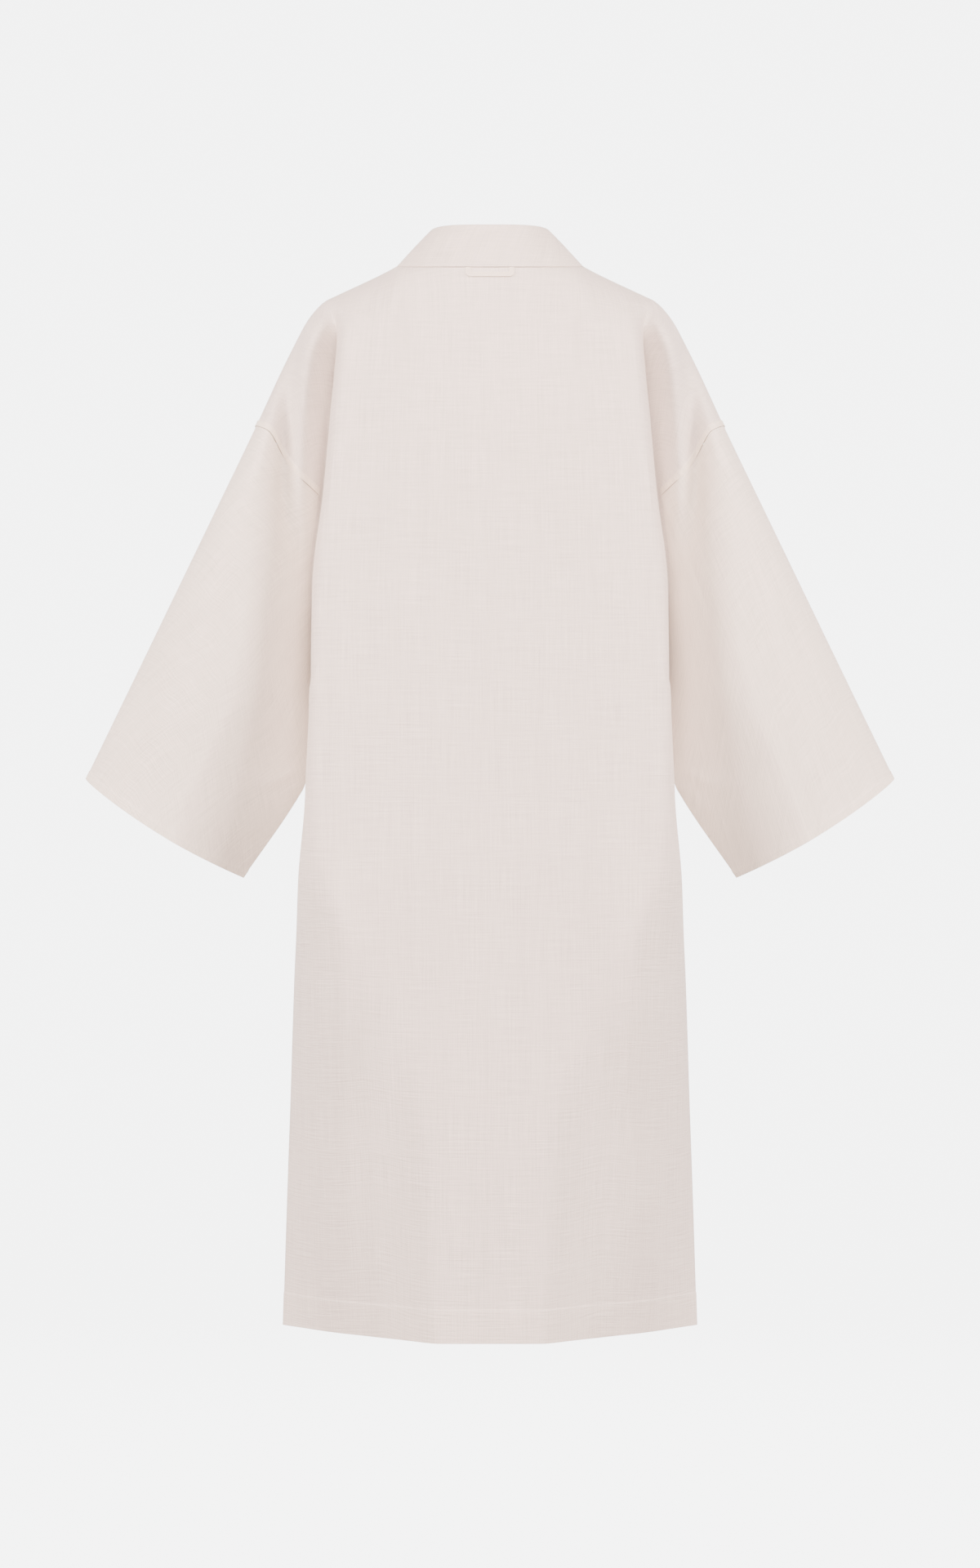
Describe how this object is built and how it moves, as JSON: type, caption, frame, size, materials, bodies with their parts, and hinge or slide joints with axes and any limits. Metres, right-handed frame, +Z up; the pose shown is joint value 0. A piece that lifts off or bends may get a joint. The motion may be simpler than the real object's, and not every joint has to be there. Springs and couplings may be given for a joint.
{
  "type": "kimono shirt",
  "caption": "Long open-front kimono shirt in plain off-white linen, filled out, with wide straight sleeves, a folded collar band and a hanger loop at the nape.",
  "frame": {"origin": "the middle of the neck opening, level with the two side neck points, where a wearer's neck passes through and from where the garment hangs", "axes": "+Z up, the front faces -Y and the back +Y, +X is the wearer's left"},
  "size_m": [0.864, 0.2673, 1.1701],
  "materials": {
    "linen_body": "matte plain weave",
    "linen_sleeve": "matte plain weave",
    "linen_band": "matte plain weave"
  },
  "bodies": {
    "root": {"back": "linen_body", "front_left": "linen_body", "front_right": "linen_body", "sleeve_left": "linen_sleeve", "sleeve_right": "linen_sleeve", "collar_band": "linen_band", "hanger_loop": "linen_band"}
  },
  "joints": []
}
